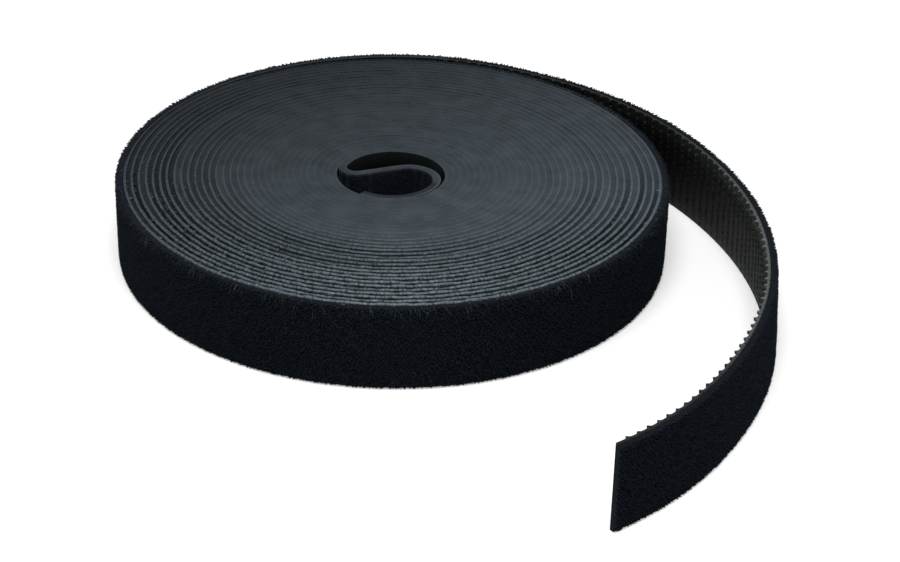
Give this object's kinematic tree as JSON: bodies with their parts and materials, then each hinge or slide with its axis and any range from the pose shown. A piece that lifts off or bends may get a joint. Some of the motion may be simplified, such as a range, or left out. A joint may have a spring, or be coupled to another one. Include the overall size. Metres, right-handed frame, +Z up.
{
  "type": "hook and loop tape roll",
  "caption": "Coreless roll of narrow back-to-back hook and loop tape lying flat, hooks facing in and soft loops facing out, with its cut outer end peeled off as a curved tail.",
  "frame": {"origin": "in the middle of the eye, where the S of the inner end crosses it, at the surface that the roll lies on; the axis of the outer turns is 0.55 mm nearer the front", "axes": "+Z up along the roll's axis and the tape's width, +X to the right and +Y away in the picture; the tail leaves at the back right and ends at the front right"},
  "size_m": [0.0951, 0.1143, 0.0127],
  "materials": {
    "hook_web": "moulded dark grey film with rows of small hooks",
    "loop_web": "brushed black knit loop pile"
  },
  "bodies": {
    "roll": {"winding_hook_web": "hook_web", "winding_loop_web": "loop_web"},
    "tail_1": {"tail_1_hook_web": "hook_web", "tail_1_loop_web": "loop_web"},
    "tail_2": {"tail_2_hook_web": "hook_web", "tail_2_loop_web": "loop_web"},
    "tail_3": {"tail_3_hook_web": "hook_web", "tail_3_loop_web": "loop_web"},
    "tail_4": {"tail_4_hook_web": "hook_web", "tail_4_loop_web": "loop_web"},
    "tail_5": {"tail_5_hook_web": "hook_web", "tail_5_loop_web": "loop_web"},
    "tail_6": {"tail_6_hook_web": "hook_web", "tail_6_loop_web": "loop_web"},
    "tail_7": {"tail_7_hook_web": "hook_web", "tail_7_loop_web": "loop_web"}
  },
  "joints": [
    {"name": "peel_line", "type": "hinge", "parent": "roll", "child": "tail_1", "pos_m": [0.01644, 0.03781, 0.00635], "axis": [0, 0, 1], "range_deg": [0, 18], "stiffness_Nm_per_rad": 0.002},
    {"name": "flex_line_2", "type": "hinge", "parent": "tail_1", "child": "tail_2", "pos_m": [0.03255, 0.02787, 0.00635], "axis": [0, 0, 1], "range_deg": [-9, 18], "stiffness_Nm_per_rad": 0.002},
    {"name": "flex_line_3", "type": "hinge", "parent": "tail_2", "child": "tail_3", "pos_m": [0.04464, 0.01334, 0.00635], "axis": [0, 0, 1], "range_deg": [-9, 18], "stiffness_Nm_per_rad": 0.002},
    {"name": "flex_line_4", "type": "hinge", "parent": "tail_3", "child": "tail_4", "pos_m": [0.05183, -0.00419, 0.00635], "axis": [0, 0, 1], "range_deg": [-9, 18], "stiffness_Nm_per_rad": 0.002},
    {"name": "flex_line_5", "type": "hinge", "parent": "tail_4", "child": "tail_5", "pos_m": [0.05395, -0.023, 0.00635], "axis": [0, 0, 1], "range_deg": [-9, 18], "stiffness_Nm_per_rad": 0.002},
    {"name": "flex_line_6", "type": "hinge", "parent": "tail_5", "child": "tail_6", "pos_m": [0.05063, -0.04164, 0.00635], "axis": [0, 0, 1], "range_deg": [-9, 18], "stiffness_Nm_per_rad": 0.002},
    {"name": "flex_line_7", "type": "hinge", "parent": "tail_6", "child": "tail_7", "pos_m": [0.04248, -0.05875, 0.00635], "axis": [0, 0, 1], "range_deg": [-9, 18], "stiffness_Nm_per_rad": 0.002}
  ]
}
